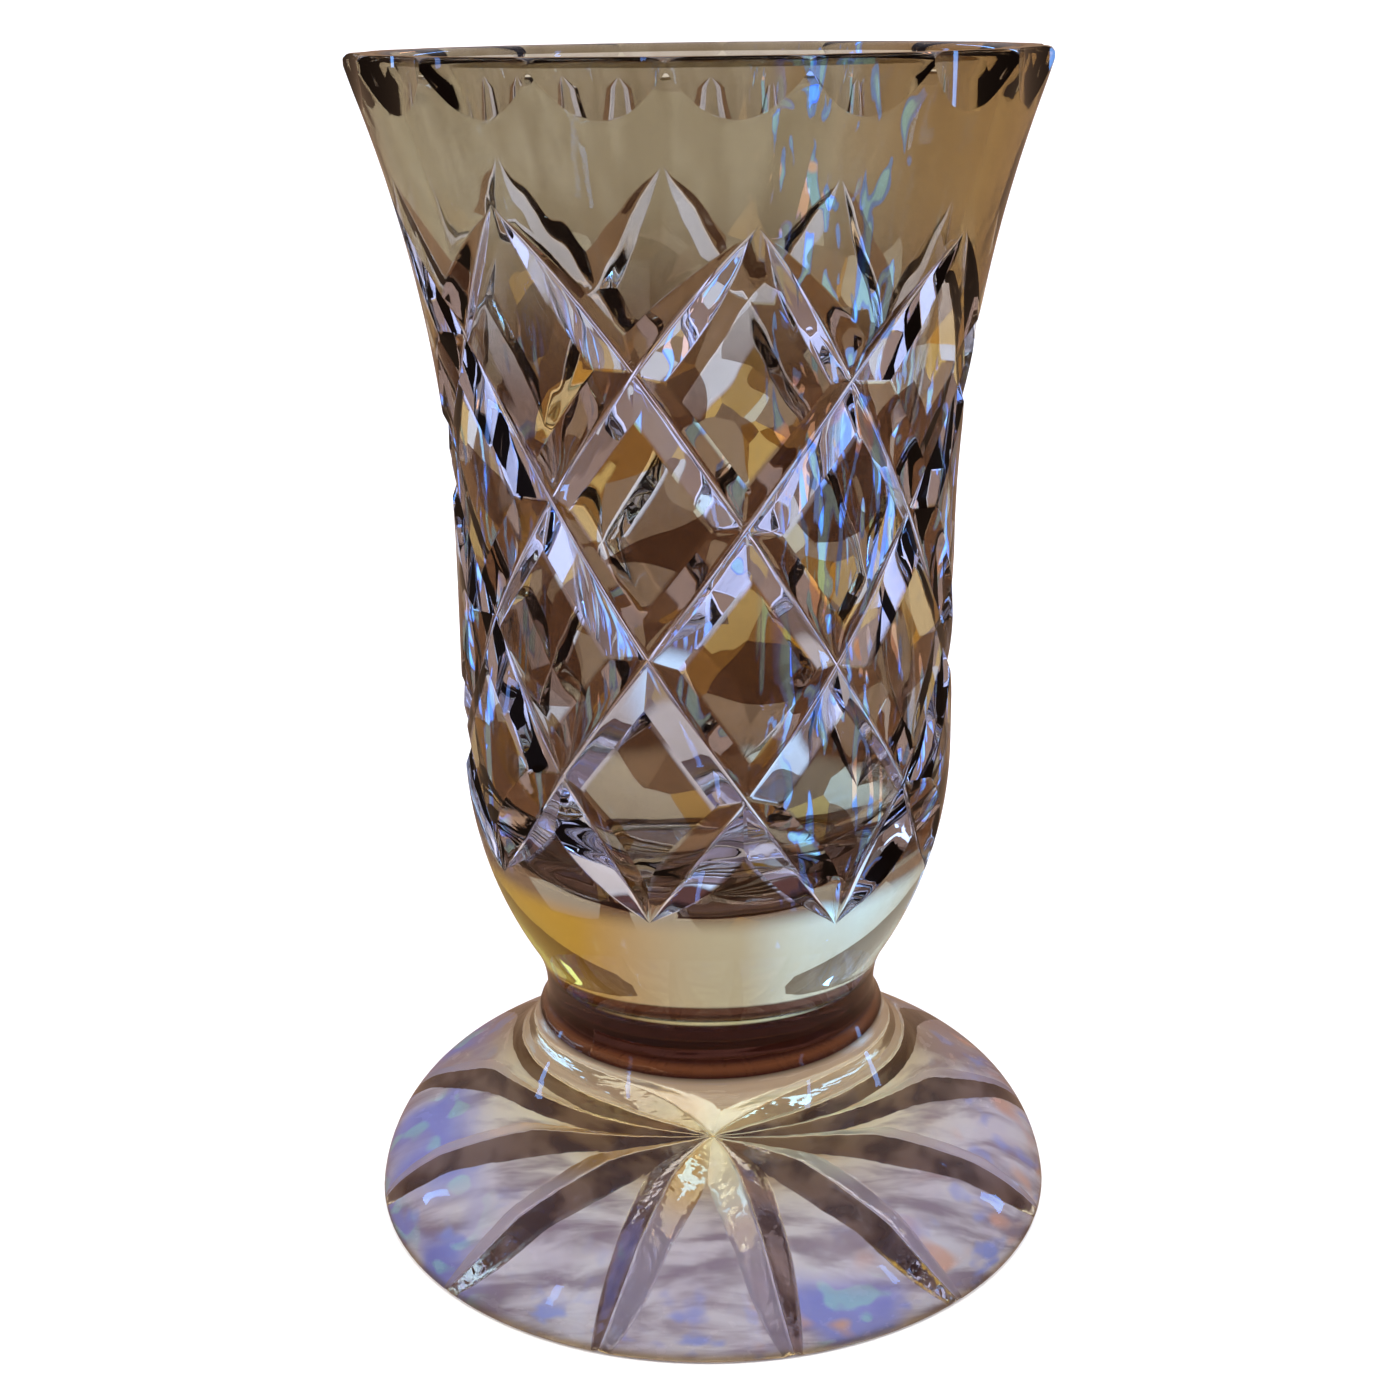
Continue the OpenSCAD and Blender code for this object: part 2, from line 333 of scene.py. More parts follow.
def wheel_rise(away, half_angle, edge_r):
    """Height of a cut's surface, at a distance from its valley, above the line in which its two
    flat sides would meet. The wheel's rounded edge makes the valley round."""
    edge = np.sqrt(np.maximum(edge_r ** 2 - away ** 2, 0))
    round_part = edge_r / math.sin(half_angle) - edge
    return np.where(away < edge_r * math.cos(half_angle), round_part, away / math.tan(half_angle))


# ---- Diamond cutting ----
# Cuts of one hand lie where p is a whole number, those of the other hand where q is. Both grow
# with the angle, and only q grows with the height.

HALF_LINES = VALLEY_LINES + SIDE_LINES + 1 + LAND_LINES
LINES = 2 * HALF_LINES
# Where a cut runs out, its mesh lines still lie as if it were this wide on each side.
LEAST_HALF_W = 0.06 * UNIT
# The most of a cut's half width that its round valley and its softened edge may take up.
VALLEY_SHARE = 0.45
SOFT_SHARE = 0.25
# A point's height and its place in the pattern depend on each other. They are found in this many
# rounds, each of which takes away this share of what the height is off by.
SETTLE_ROUNDS = 40
SETTLE_SHARE = 0.6


def valley_depth(z):
    """Depth of a cut's valley at the height z that it would have without the lean."""
    t = (z - CUT_LOW_Z) / CUT_ROW_H
    low = np.maximum((1 - t) / TIP_END, 0)
    high = np.maximum((t - CUT_ROWS + 1) / TIP_END, 0)
    return CUT_DEPTH * (1 - low * low) * (1 + TIP_SWELL * low) * (1 - high * high)


def cut_pitch(r):
    """Distance square to a cut between it and the next one like it."""
    half_w = r * CUT_COLUMN
    return 2 * half_w * CUT_ROW_H / np.hypot(half_w, CUT_ROW_H)


def line_place(index, level, z):
    """Place of a mesh line: cuts lie at whole numbers, and lines are close where the surface bends."""
    pitch = cut_pitch(outer_r(z))
    half_w = np.maximum(valley_depth(level) * WHEEL_TAN, LEAST_HALF_W)
    valley = np.minimum(WHEEL_EDGE_R * math.cos(WHEEL_HALF_ANGLE), VALLEY_SHARE * half_w)
    soft = np.minimum(EDGE_SOFT, SOFT_SHARE * half_w)
    whole, part = np.divmod(index, LINES)
    step = np.minimum(part, LINES - part)
    share = lines_away(step, valley, half_w, soft, pitch / 2, LAND_LINES) / pitch
    return whole + np.where(part <= HALF_LINES, share, 1 - share)


def cut_below(place, level, z, start):
    """Depth below the surface that the nearest cut reaches at this place."""
    away = np.abs(place - np.round(place)) * cut_pitch(outer_r(z))
    turn = np.round(place) * 2 * math.pi / DIAMONDS
    uneven = 1 + CUT_UNEVEN * np.sin(3 * turn + start)
    return valley_depth(level) * uneven - wheel_rise(away, WHEEL_HALF_ANGLE, WHEEL_EDGE_R)


def stray(place, start):
    """How far the lines of one hand stray sideways, as a share of their pitch."""
    turn = place * 2 * math.pi / DIAMONDS
    return CUT_STRAY * (np.sin(3 * turn + start) + 0.6 * np.sin(2 * turn - start))


def lattice(shell):
    """Adds the cut part of the bowl and returns its lowest and highest rings with their angles."""
    around = DIAMONDS * LINES
    row, column = np.meshgrid(np.arange(CUT_ROWS * LINES + 1), np.arange(around), indexing="ij")
    level = CUT_LOW_Z + CUT_ROW_H * row / LINES
    z = level.copy()
    for _ in range(SETTLE_ROUNDS):
        p = line_place(column, level, z)
        q = line_place(column + row, level, z)
        p_hand = p + stray(p, STRAY_STARTS[0])
        q_hand = q + stray(q, STRAY_STARTS[1])
        angle = CUT_TURN + CUT_COLUMN * (1 + p_hand + q_hand)
        level = CUT_LOW_Z + CUT_ROW_H * (q_hand - p_hand)
        z = (1 - SETTLE_SHARE) * z + SETTLE_SHARE * (level - CUT_LEAN * np.sin(angle))
    p_cut = cut_below(p, level, z, DEPTH_STARTS[0])
    q_cut = cut_below(q, level, z, DEPTH_STARTS[1])
    cut = np.maximum(np.maximum(p_cut, q_cut), 0)
    # The side below a valley looks up and gets the painted highlight; the other side gets painted
    # shade.
    upward = np.round(np.where(p_cut > q_cut, p - np.round(p), np.round(q) - q), 6)
    side = np.where(cut > 0, np.where(upward == 0, VALLEY, np.sign(upward)), 0)
    r = outer_r(z) - cut
    number = shell.ring(angle.ravel(), r.ravel(), z.ravel(), side.ravel()).reshape(angle.shape)

    right = np.roll(number, -1, axis=1)
    left_corner = number[:-1]
    top_corner = number[1:]
    right_corner = right[:-1]
    # The cell's lowest corner is one row down, so cells on the first row are cut in half.
    cell_p = (column[:-1] % LINES + 0.5) / LINES - 0.5
    cell_q = ((column + row)[:-1] % LINES + 0.5) / LINES - 0.5
    level_crease = cell_p * cell_q > 0
    low = np.roll(number[:-1], -1, axis=1)
    bottom_corner = np.vstack([low[:1], low[:-1]])
    whole = np.ones_like(level_crease)
    whole[0] = False
    flat = level_crease & whole
    steep = ~level_crease & whole
    shell.triangles(left_corner[flat], bottom_corner[flat], right_corner[flat])
    shell.triangles(left_corner[flat], right_corner[flat], top_corner[flat])
    shell.triangles(left_corner[steep], bottom_corner[steep], top_corner[steep])
    shell.triangles(bottom_corner[steep], right_corner[steep], top_corner[steep])
    shell.triangles(left_corner[0], right_corner[0], top_corner[0])
    shell.triangles(number[-1], low[-1], right[-1])
    return number[0], angle[0], number[-1], angle[-1]


# ---- Bowl ----

LIP_OUT = RIM_R - LIP_ROUND
LIP_IN = float(inner_r(np.array(LIP_Z))) + LIP_ROUND
# The lattice is joined to plain rings that lie this far below it and above it.
GAP_BELOW_CUTS = 1.0 * UNIT
GAP_ABOVE_CUTS = 1.2 * UNIT
BULB_ROWS = 22
FLARE_ROWS = 14
SCALLOP_ROWS = 8
LIP_ROWS = 16
WALL_ROWS = 44
FLOOR_ROWS = 15
SCALLOP_COLUMNS = 14
# The first row on a scallop lies close to its lower edge, so that its painted shade starts sharply
# there.
SCALLOP_START = 0.03
# The waves of the inside fade out over this height below the lip.
WAVE_FADE = 6 * UNIT


def scallop_r(angle):
    """Radius of the scallops' upright hollows in each direction."""
    foot_of_cut = float(outer_r(np.array(VASE_H - SCALLOP_H)))
    corner_r = RIM_R - SCALLOP_INSET
    corner_x = corner_r * math.cos(math.pi / SCALLOPS)
    hollow_r = corner_r ** 2 + foot_of_cut ** 2 - 2 * corner_x * foot_of_cut
    hollow_r /= 2 * (corner_x - foot_of_cut)
    pitch = 2 * math.pi / SCALLOPS
    off = (angle - SCALLOP_TURN + pitch / 2) % pitch - pitch / 2
    axis_r = foot_of_cut + hollow_r
    return axis_r * np.cos(off) - np.sqrt(hollow_r ** 2 - (axis_r * np.sin(off)) ** 2)


def lip_point(path):
    """Radius and height at a distance along the lip: outer rounding, flat top, inner rounding."""
    quarter = LIP_ROUND * math.pi / 2
    flat = LIP_OUT - LIP_IN
    outer = np.clip(path / LIP_ROUND, 0, math.pi / 2)
    inner = np.clip((path - quarter - flat) / LIP_ROUND, 0, math.pi / 2)
    r = LIP_OUT + LIP_ROUND * (np.cos(outer) - np.sin(inner)) - np.clip(path - quarter, 0, flat)
    z = LIP_Z + LIP_ROUND * (np.sin(outer) - 1 + np.cos(inner))
    return r, z


def rim_rows(hollow):
    """Radius and height of the scallops, whose radius is given, and of the lip above them."""
    low = flare_z(hollow)
    in_round = np.clip(hollow - LIP_OUT, 0, LIP_ROUND)
    in_round_z = np.sqrt(LIP_ROUND ** 2 - in_round ** 2)
    shares = [SCALLOP_START] + steps(0.0, 1.0, SCALLOP_ROWS)
    rows = [(hollow, low + (LIP_Z + in_round_z - low) * share) for share in shares]
    quarter = LIP_ROUND * math.pi / 2
    in_round_path = LIP_ROUND * np.arcsin(np.minimum(in_round_z / LIP_ROUND, 1))
    start = np.where(hollow > LIP_OUT, in_round_path, quarter + LIP_OUT - hollow)
    end = 2 * quarter + LIP_OUT - LIP_IN
    return rows + [lip_point(path) for path in steps(start, end, LIP_ROWS)]


def inside_rows(angle):
    """Radius and height of the hollow inside, from the lip down to the rounded floor."""
    rows = [(inner_r(z) + wave_at(angle, z), z) for z in steps(LIP_Z, FLOOR_SPRING_Z, WALL_ROWS)]
    spring_r = float(inner_r(np.array(FLOOR_SPRING_Z)))
    for a in steps(0.0, math.pi / 2, FLOOR_ROWS)[:-1]:
        z = FLOOR_SPRING_Z - (FLOOR_SPRING_Z - FLOOR_Z) * math.sin(a)
        rows.append(((spring_r + wave_at(angle, z)) * math.cos(a), z))
    return rows


def bowl_shell():
    """Flared bowl with its diamond cutting and scalloped rim."""
    shell = Shell()
    angle = even_columns()
    middle = shell.middle(NECK_Z)
    ring = shell.ring(angle, NECK_R, NECK_Z)
    shell.open_disk(middle, ring, WELD_SLOT)
    top = CUT_LOW_Z - CUT_LEAN * np.sin(angle) - GAP_BELOW_CUTS
    heights = steps(np.full(JOINT_COLUMNS, NECK_Z), top, BULB_ROWS)
    ring = shell.rings(ring, angle, [(outer_r(z), z) for z in heights])
    lowest, lowest_angle, highest, highest_angle = lattice(shell)
    shell.stitch(ring, angle, lowest, lowest_angle)

    angle = turn_angles(SCALLOPS * SCALLOP_COLUMNS, SCALLOP_TURN)
    low = CUT_LOW_Z + CUT_ROWS * CUT_ROW_H - CUT_LEAN * np.sin(angle) + GAP_ABOVE_CUTS
    ring = shell.ring(angle, outer_r(low), low)
    shell.stitch(highest, highest_angle, ring, angle)
    hollow = scallop_r(angle)
    flare = [(outer_r(z), z) for z in steps(low, flare_z(hollow), FLARE_ROWS)]
    ring = shell.rings(ring, angle, flare)
    ring = shell.rings(ring, angle, rim_rows(hollow), side=SCALLOP_SHADE_SIDE)
    ring = shell.rings(ring, angle, inside_rows(angle), INNER_SLOT)
    shell.close_disk(ring, shell.middle(FLOOR_Z), INNER_SLOT)
    return shell


def wave_at(angle, z):
    """The inside's unevenness, which fades out towards the lip."""
    return inner_wave(angle, z) * min(1.0, (LIP_Z - z) / WAVE_FADE)


# ---- Foot ----

STAR_FLAT_LINES = 5
STAR_HALF_LINES = VALLEY_LINES + SIDE_LINES + 1 + STAR_FLAT_LINES
JOINT_COLUMNS = 2 * STAR_HALF_LINES * STAR_RAYS
# The most that a ray may take up of its sector, and its round valley and softened edge of the ray.
RAY_SHARE = 0.9
RAY_VALLEY_SHARE = 0.4
RAY_SOFT_SHARE = 0.08
UNDERSIDE_ROWS = 46
# Rings on the underside lie closer together towards the star's centre.
UNDERSIDE_CROWD = 1.15
BOTTOM_EDGE_ROWS = 6
SIDE_ROWS = 16
SLOPE_ROWS = 8
RISE_ROWS = 20


def star_floor(r):
    """Height of a ray's valley above the underside at distance r along the ray."""
    return STAR_DEPTH - arc_shift(STAR_WHEEL_R, np.abs(r - STAR_DEEP_R))


def star_columns(r):
    """Mesh directions on the underside at distance r: close together where the surface bends."""
    gap = math.pi / STAR_RAYS
    half_gap_w = r * math.sin(gap)
    half_w = min(float(star_floor(r)) * math.tan(STAR_HALF_ANGLE), RAY_SHARE * half_gap_w)
    valley = min(STAR_EDGE_R * math.cos(STAR_HALF_ANGLE), RAY_VALLEY_SHARE * half_w)
    soft = min(EDGE_SOFT, RAY_SOFT_SHARE * half_w)
    step = np.arange(STAR_HALF_LINES + 1)
    away = lines_away(step, valley, half_w, soft, half_gap_w, STAR_FLAT_LINES)
    off = np.arcsin(np.clip(away / r, 0, math.sin(gap)))
    sector = np.concatenate([off[:-1], 2 * gap - off[:0:-1]])
    return np.concatenate([STAR_TURN + 2 * gap * k + sector for k in range(STAR_RAYS)])


def off_ray(angle):
    """Angle from the nearest ray of the star to each direction."""
    gap = math.pi / STAR_RAYS
    return (angle - STAR_TURN + gap) % (2 * gap) - gap


def star_side(angle, r):
    """The side of its ray that each point of the underside is on. The side of a ray that gets the
    painted highlight is the one away from the front, but on the rays nearest the front it is the
    other one; the remaining side gets painted shade."""
    off = np.round(off_ray(angle), 6)
    ray = angle - off
    side = np.sign(off * np.sin(ray) * (math.cos(STAR_FRONT) - np.cos(ray)))
    side = np.where(off == 0, VALLEY, side)
    return np.where(star_z(angle, r) > 0, side, 0)


def star_z(angle, r):
    """Height of the underside in these directions at distance r."""
    off = np.abs(off_ray(angle))
    wheel = wheel_rise(r * np.sin(off), STAR_HALF_ANGLE, STAR_EDGE_R)
    return np.maximum(star_floor(r * np.cos(off)) - wheel, 0)


def foot_rows():
    """Radius and height of the foot's outside, from the bottom edge up to the collar."""
    sides = steps(SIDE_LOW, math.pi / 2 - TOP_SLOPE, SIDE_ROWS)
    rows = [(EDGE_X + EDGE_ARC * math.cos(a), EDGE_ARC * math.sin(a) - EDGE_SINK) for a in sides]
    start_x = RISE_X - RISE_ARC * math.sin(TOP_SLOPE)
    start_z = RISE_Z - RISE_ARC * math.cos(TOP_SLOPE)
    rows += zip(steps(SLOPE_X, start_x, SLOPE_ROWS), steps(SLOPE_Z, start_z, SLOPE_ROWS))
    rise = steps(TOP_SLOPE, RISE_END, RISE_ROWS)
    rows += [(RISE_X - RISE_ARC * math.sin(a), RISE_Z - RISE_ARC * math.cos(a)) for a in rise]
    return rows


def foot_shell():
    """Thick foot with a sloping top and the star cut in its underside."""
    shell = Shell()
    flat_r = EDGE_X + EDGE_ARC * math.cos(SIDE_LOW) - FOOT_ROUND
    middle = shell.middle(star_z(np.full(1, STAR_TURN), 0.0))
    ring = None
    for share in steps(0.0, 1.0, UNDERSIDE_ROWS):
        r = flat_r * share ** UNDERSIDE_CROWD
        angle = star_columns(r)
        further = shell.ring(angle, r, star_z(angle, r), star_side(angle, r))
        if ring is None:
            shell.open_disk(middle, further, INNER_SLOT)
        else:
            shell.band(ring, further, INNER_SLOT)
        ring = further
    notch = star_z(angle, flat_r)
    heights = steps(notch, np.full_like(notch, FOOT_ROUND), BOTTOM_EDGE_ROWS)
    out = [np.sqrt(np.maximum(FOOT_ROUND ** 2 - (FOOT_ROUND - z) ** 2, 0)) for z in heights]
    ring = shell.rings(ring, angle, zip([flat_r + r for r in out], heights))
    rows = foot_rows()
    for i, (r, z) in enumerate(rows):
        # The columns move from the star's places to even ones over the lower half of the outside.
        evened = min(1.0, 2 * (i + 1) / len(rows))
        further = shell.ring(angle + (even_columns() - angle) * evened, r, z)
        shell.band(ring, further)
        ring = further
    shell.close_disk(ring, shell.middle(FOOT_H), WELD_SLOT)
    return shell


def even_columns():
    """Evenly spaced directions for the joints, in step with the star."""
    return STAR_TURN + turn_angles(JOINT_COLUMNS)


# ---- Collar ----

COLLAR_ROWS = 16


def collar_shell():
    """Short collar, a gather wrapped round the joint of bowl and foot, with its seam."""
    shell = Shell()
    angle = even_columns()
    off = (angle - SEAM_TURN + math.pi) % (2 * math.pi) - math.pi
    wrap = WRAP_STEP * np.where(off > 0, np.exp(-off / WRAP_FADE), 0)
    rows = []
    for share in steps(0.0, 1.0, COLLAR_ROWS):
        swell = math.sin(math.pi * share)
        r = SHOULDER_R + (NECK_R - SHOULDER_R) * share - COLLAR_HOLLOW * swell
        groove = SEAM_DEPTH * np.clip(1 - np.abs(off) * r / SEAM_HALF_W, 0, 1)
        fade = math.sqrt(swell) if share < 1 else 0.0
        rows.append((r + fade * (wrap - groove), FOOT_H + (NECK_Z - FOOT_H) * share))
    ring = shell.ring(angle, SHOULDER_R, FOOT_H)
    shell.open_disk(shell.middle(FOOT_H), ring, WELD_SLOT)
    ring = shell.rings(ring, angle, rows)
    shell.close_disk(ring, shell.middle(NECK_Z), WELD_SLOT)
    return shell


# ---- Materials ----
# The tints are painted light: the room around the vase, seen in and through its glass, painted
# onto it, so they change from place to place. They are base colours of a clear shader, which
# tints the light that goes through it.

CRYSTAL_IOR = 1.545
# Mirror images of the pale studio are kept faint, or they would hide the tints.
MIRROR_TINT = (0.26, 0.24, 0.30)
COLLAR_MIRROR_TINT = (0.08, 0.04, 0.03)
# Painted lilac highlight along the valleys of all cuts.
VALLEY_HIGHLIGHT = (0.85, 0.80, 1.00)


class Looks:
    """The node network of one material. Lengths in it are millimetres of the full-size vase."""

    def __init__(self, name):
        self.material = bpy.data.materials.new(name)
        self.material.use_nodes = True
        self.tree = self.material.node_tree
        self.shader = self.tree.nodes["Principled BSDF"]
        place = self.node("ShaderNodeTexCoord", {}).outputs["Object"]
        scaled = self.node("ShaderNodeVectorMath", {0: place, 3: 1 / UNIT}, operation="SCALE")
        self.place = scaled.outputs[0]
        axes = self.node("ShaderNodeSeparateXYZ", {0: self.place})
        self.x = axes.outputs["X"]
        self.y = axes.outputs["Y"]
        self.z = axes.outputs["Z"]

    def node(self, kind, inputs, **settings):
        """Adds a node. An input takes a value or the output of another node."""
        made = self.tree.nodes.new(kind)
        for key, value in settings.items():
            setattr(made, key, value)
        for key, value in inputs.items():
            if isinstance(value, bpy.types.NodeSocket):
                self.tree.links.new(value, made.inputs[key])
            else:
                made.inputs[key].default_value = value
        return made

    def sum(self, a, b):
        return self.node("ShaderNodeMath", {0: a, 1: b}, operation="ADD").outputs[0]

    def times(self, a, b):
        return self.node("ShaderNodeMath", {0: a, 1: b}, operation="MULTIPLY").outputs[0]

    def rise(self, value, start, end):
        """Goes smoothly from 0 to 1 while the value goes from start to end."""
        limits = {"Value": value, "From Min": start, "From Max": end}
        return self.node("ShaderNodeMapRange", limits, interpolation_type="SMOOTHSTEP").outputs[0]

    def between(self, value, start, end, fade):
        """Is 1 between start and end, and fades to 0 on both sides."""
        up = self.rise(value, start - fade, start + fade)
        return self.times(up, self.rise(value, end + fade, end - fade))

    def mix(self, share, a, b):
        """Colour a where the share is 0 and colour b where it is 1."""
        a, b = ((*c, 1) if isinstance(c, tuple) else c for c in (a, b))
        return self.node("ShaderNodeMix", {0: share, 6: a, 7: b}, data_type="RGBA").outputs[2]

    def noise(self, size, detail=2.0, stretch=(1, 1, 1), distortion=0.0):
        """Random values between 0 and 1 whose patches are about that size."""
        mapping = self.node("ShaderNodeMapping", {"Vector": self.place, "Scale": stretch})
        inputs = {"Vector": mapping.outputs[0], "Scale": 1 / size}
        inputs.update({"Detail": detail, "Distortion": distortion})
        return self.node("ShaderNodeTexNoise", inputs).outputs[0]

    def cells(self, size, bend):
        """A random value for each of many cells of about that size, whose edges are bent."""
        inputs = {"Vector": self.place, "Scale": 1 / (2 * size), "Detail": 1.0}
        shift = self.node("ShaderNodeTexNoise", inputs).outputs["Color"]
        inputs = {0: shift, 1: (bend,) * 3, 2: self.place}
        bent = self.node("ShaderNodeVectorMath", inputs, operation="MULTIPLY_ADD")
        inputs = {"Vector": bent.outputs[0], "Scale": 1 / size}
        colour = self.node("ShaderNodeTexVoronoi", inputs).outputs["Color"]
        return self.node("ShaderNodeSeparateColor", {0: colour}).outputs[0]

    def bump(self, height, depth):
        """Gives the surface fine relief. The depth is in metres."""
        relief = self.node("ShaderNodeBump", {"Height": height, "Distance": depth, "Strength": 1.0})
        self.tree.links.new(relief.outputs[0], self.shader.inputs["Normal"])

    def side(self):
        """The side attribute: see Shell.ring."""
        return self.node("ShaderNodeAttribute", {}, attribute_name="side").outputs["Fac"]

    def paint_cuts(self, uncut, bright, dark):
        """Tint of a surface with these tints where it isn't cut, a painted highlight and painted shade
        on the two sides of its cuts, and a painted lilac highlight along their valleys.
        """
        side = self.side()
        tint = self.mix(self.rise(side, 0.1, 0.9), uncut, bright)
        tint = self.mix(self.rise(side, -0.1, -0.9), tint, dark)
        return self.mix(self.rise(side, 1.3, 2.6), tint, VALLEY_HIGHLIGHT)

    def glass(self, tint, clear=1.0, roughness=0.0, mirror=MIRROR_TINT):
        """Makes the shader lead crystal. What isn't clear of it is matt."""
        self.shader.inputs["IOR"].default_value = CRYSTAL_IOR
        self.shader.inputs["Specular Tint"].default_value = (*mirror, 1)
        inputs = {"Base Color": tint, "Transmission Weight": clear, "Roughness": roughness}
        for label, value in inputs.items():
            if isinstance(value, bpy.types.NodeSocket):
                self.tree.links.new(value, self.shader.inputs[label])
            else:
                self.shader.inputs[label].default_value = value


# Painted shade: a dark band around the collar, where the glass is thick, and a painted lighter line in
# it.
COLLAR_SHADE = (0.012, 0.002, 0.001)
COLLAR_LIGHT_LINE = (0.08, 0.022, 0.006)


def paint_collar_shade(looks, tint):
    """Paints shade as a dark band around the collar, where the glass is thickest, with a painted
    lighter line in it.
    """
    band = looks.between(looks.z, 25.6, 33.6, 0.6)
    line = looks.between(looks.z, 26.6, 27.6, 0.5)
    return looks.mix(band, tint, looks.mix(line, COLLAR_SHADE, COLLAR_LIGHT_LINE))


# Painted glints of coloured light.
GLINT_BLUE = (0.07, 0.20, 1.00)
GLINT_CYAN = (0.18, 0.62, 1.00)
GLINT_PEACH = (1.00, 0.50, 0.28)


def paint_glints(looks, tint):
    """Adds painted upright glints of coloured light, from the lattice up on the right, and at both
    edges of the lattice."""
    wavy = looks.noise(2.8, 1.5, (1, 1, 0.17), 0.9)
    colour = looks.mix(looks.rise(wavy, 0.62, 0.65), GLINT_BLUE, GLINT_CYAN)
    warm = looks.rise(looks.noise(10.0, 1.0), 0.63, 0.66)
    colour = looks.mix(warm, colour, GLINT_PEACH)
    right = looks.between(looks.x, 9.0, 23.0, 2.0)
    edges = looks.sum(looks.rise(looks.x, -24.0, -28.0), looks.rise(looks.x, 26.0, 29.0))
    edges = looks.times(edges, looks.rise(looks.z, 118.0, 106.0))
    above_bulb = looks.rise(looks.z, 51.0, 55.0)
    where = looks.times(looks.sum(right, edges), above_bulb)
    share = looks.times(looks.rise(wavy, 0.58, 0.60), where)
    return looks.mix(share, tint, colour)


# The patchwork of the lattice, a painted reflection of the room, and the painted highlight and painted
# shade of the two sides of its cuts.
DARK_BROWN = (0.038, 0.015, 0.006)
BROWN = (0.085, 0.043, 0.020)
AMBER = (0.31, 0.145, 0.018)
BEIGE = (0.36, 0.35, 0.26)
CUT_HIGHLIGHT = (0.43, 0.49, 0.76)
CUT_SHADE = (0.08, 0.034, 0.014)
# The plain flare: two tints of painted room reflection in upright streaks, and painted shade on its
# right side.
FLARE_DULL = (0.19, 0.155, 0.085)
FLARE_PALE = (0.25, 0.215, 0.13)
FLARE_RIGHT_SHADE = (0.19, 0.105, 0.030)
# Painted room light in the bulb, from left to right, and its rear.
BULB_GOLD = (0.30, 0.13, 0.004)
BULB_PALE = (0.30, 0.31, 0.19)
BULB_BLUE = (0.50, 0.86, 1.0)
BULB_REAR = (0.34, 0.25, 0.15)


def lattice_tint(looks):
    """Painted room reflection in patches of brown, amber and beige, which get darker towards the bulb.
    """
    patch = looks.cells(8.0, 8.0)
    tint = looks.mix(looks.rise(patch, 0.3, 0.4), DARK_BROWN, AMBER)
    tint = looks.mix(looks.rise(patch, 0.45, 0.5), tint, BROWN)
    tint = looks.mix(looks.rise(patch, 0.7, 0.78), tint, BEIGE)
    low = looks.times(looks.rise(looks.z, 96.0, 58.0), 0.55)
    return looks.mix(low, tint, DARK_BROWN)


def flare_tint(looks):
    """Painted room reflection: beige in upright streaks, with painted brown shade on the right."""
    streak = looks.rise(looks.noise(5.0, 2.0, (1, 1, 0.12)), 0.35, 0.6)
    tint = looks.mix(streak, FLARE_DULL, FLARE_PALE)
    return looks.mix(looks.rise(looks.x, 12.0, 36.0), tint, FLARE_RIGHT_SHADE)


def bulb_tint(looks):
    """Painted room light seen through the bulb: gold on the left, pale in the middle and blue on the
    right.
    """
    tint = looks.mix(looks.rise(looks.x, -17.0, 3.0), BULB_GOLD, BULB_PALE)
    tint = looks.mix(looks.rise(looks.y, -4.0, 6.0), tint, BULB_REAR)
    return looks.mix(looks.rise(looks.x, 3.0, 12.0), tint, BULB_BLUE)


def bowl_outside():
    """Crystal of the cut bowl with painted room light: a patchwork of brown, amber and beige, with
    painted highlights and painted shade on its cuts.
    """
    looks = Looks("bowl_crystal")
    high = looks.rise(looks.z, 112.0, 136.0)
    uncut = looks.mix(high, lattice_tint(looks), flare_tint(looks))
    tint = looks.paint_cuts(uncut, CUT_HIGHLIGHT, CUT_SHADE)
    below_cuts = looks.rise(looks.z, 52.0, 48.5)
    tint = looks.mix(below_cuts, tint, bulb_tint(looks))
    looks.glass(paint_collar_shade(looks, paint_glints(looks, tint)))
    looks.bump(looks.noise(5.0, 1.0, (1, 1, 0.35)), 0.00004)
    return looks.material


INSIDE_SMOKY = (0.80, 0.76, 0.74)
INSIDE_CLEAR = (0.98, 0.97, 0.95)


def bowl_inside():
    """Fire-polished inside of the bowl, with the faint waves of blown glass."""
    looks = Looks("bowl_inner_crystal")
    looks.glass(looks.mix(looks.noise(14.0), INSIDE_SMOKY, INSIDE_CLEAR))
    looks.bump(looks.noise(9.0, 1.0, (1, 1, 0.4), 0.5), 0.00015)
    return looks.material


def collar_looks():
    """Painted shade as a dark band on the wrapped collar, with a painted lighter line round it."""
    looks = Looks("collar_crystal")
    looks.glass(paint_collar_shade(looks, COLLAR_SHADE), 0.5, mirror=COLLAR_MIRROR_TINT)
    looks.bump(looks.noise(2.0, 1.0, (0.3, 0.3, 1)), 0.00008)
    return looks.material


# The foot's outside, in painted room light: its edge, the gold around the collar, and a painted shadow
# line at its bottom.
EDGE_LILAC = (0.88, 0.80, 0.90)
EDGE_CLEAR = (1.0, 0.97, 1.0)
SHOULDER_GOLD = (1.0, 0.84, 0.36)
BOTTOM_SHADOW = (0.40, 0.26, 0.12)


